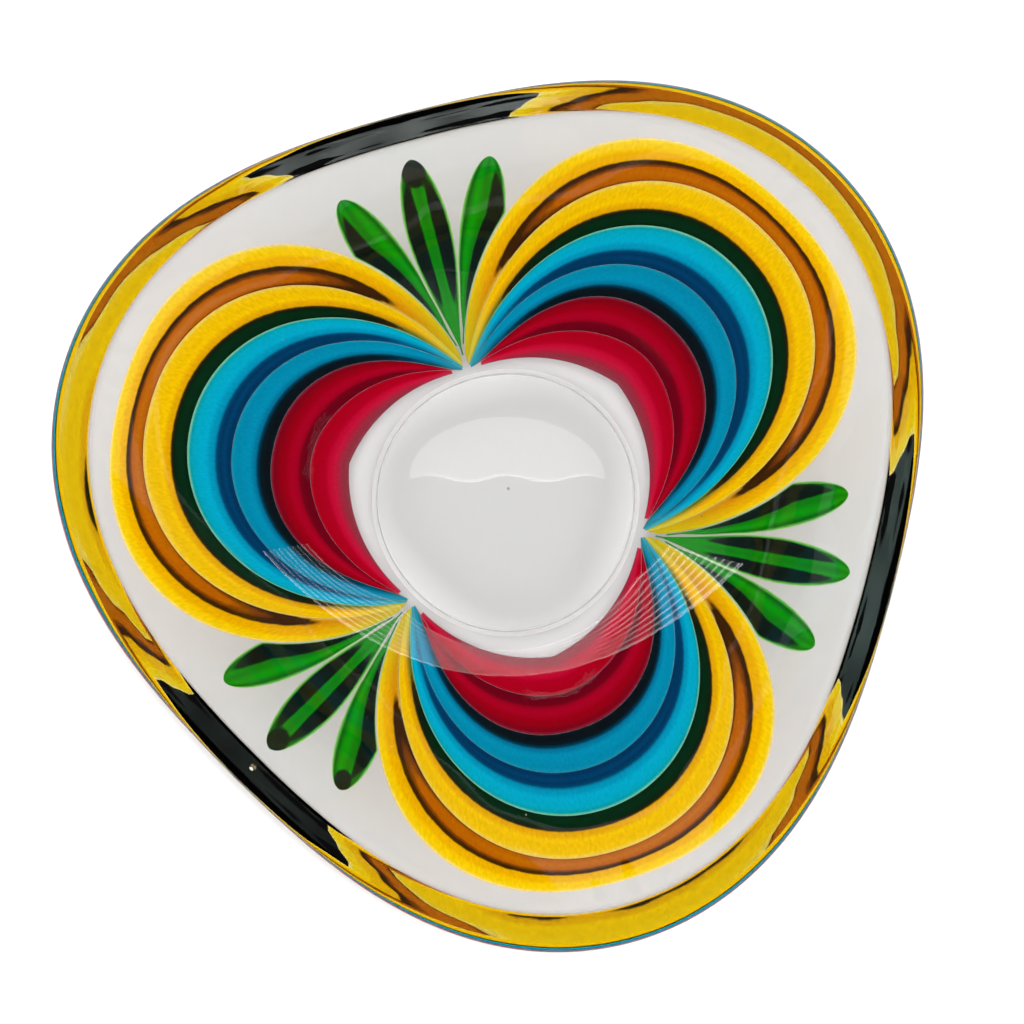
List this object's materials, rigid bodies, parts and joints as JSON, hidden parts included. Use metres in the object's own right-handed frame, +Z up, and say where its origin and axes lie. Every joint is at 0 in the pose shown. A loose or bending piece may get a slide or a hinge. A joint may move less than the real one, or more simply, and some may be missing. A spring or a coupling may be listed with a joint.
{
  "type": "art glass bowl",
  "caption": "Thick clear glass bowl with a soft three-sided rim, ribbed on the outside and filled with yellow, blue and red enamel arches and green enamel leaves.",
  "frame": {"origin": "centre of the foot's flat underside, on the bowl's axis", "axes": "+Z up along the bowl's axis; +Y towards the rear lobe of the rim; -Y towards the front flat, which carries the front spray of leaves"},
  "size_m": [0.256, 0.2499, 0.07],
  "materials": {
    "clear_glass": "fire-polished clear crystal",
    "yellow_enamel": "glossy transparent enamel",
    "blue_enamel": "glossy transparent enamel",
    "red_enamel": "glossy transparent enamel",
    "green_enamel": "glossy transparent enamel"
  },
  "bodies": {
    "root": {"glass_body": "clear_glass", "rear_fan_yellow_outer": "yellow_enamel", "rear_fan_yellow_inner": "yellow_enamel", "rear_fan_blue_outer": "blue_enamel", "rear_fan_blue_inner": "blue_enamel", "rear_fan_red_outer": "red_enamel", "rear_fan_red_inner": "red_enamel", "left_fan_yellow_outer": "yellow_enamel", "left_fan_yellow_inner": "yellow_enamel", "left_fan_blue_outer": "blue_enamel", "left_fan_blue_inner": "blue_enamel", "left_fan_red_outer": "red_enamel", "left_fan_red_inner": "red_enamel", "right_fan_yellow_outer": "yellow_enamel", "right_fan_yellow_inner": "yellow_enamel", "right_fan_blue_outer": "blue_enamel", "right_fan_blue_inner": "blue_enamel", "right_fan_red_outer": "red_enamel", "right_fan_red_inner": "red_enamel", "rear_left_spray_left_leaf": "green_enamel", "rear_left_spray_middle_leaf": "green_enamel", "rear_left_spray_right_leaf": "green_enamel", "front_spray_left_leaf": "green_enamel", "front_spray_middle_leaf": "green_enamel", "front_spray_right_leaf": "green_enamel", "rear_right_spray_left_leaf": "green_enamel", "rear_right_spray_middle_leaf": "green_enamel", "rear_right_spray_right_leaf": "green_enamel"}
  },
  "joints": []
}
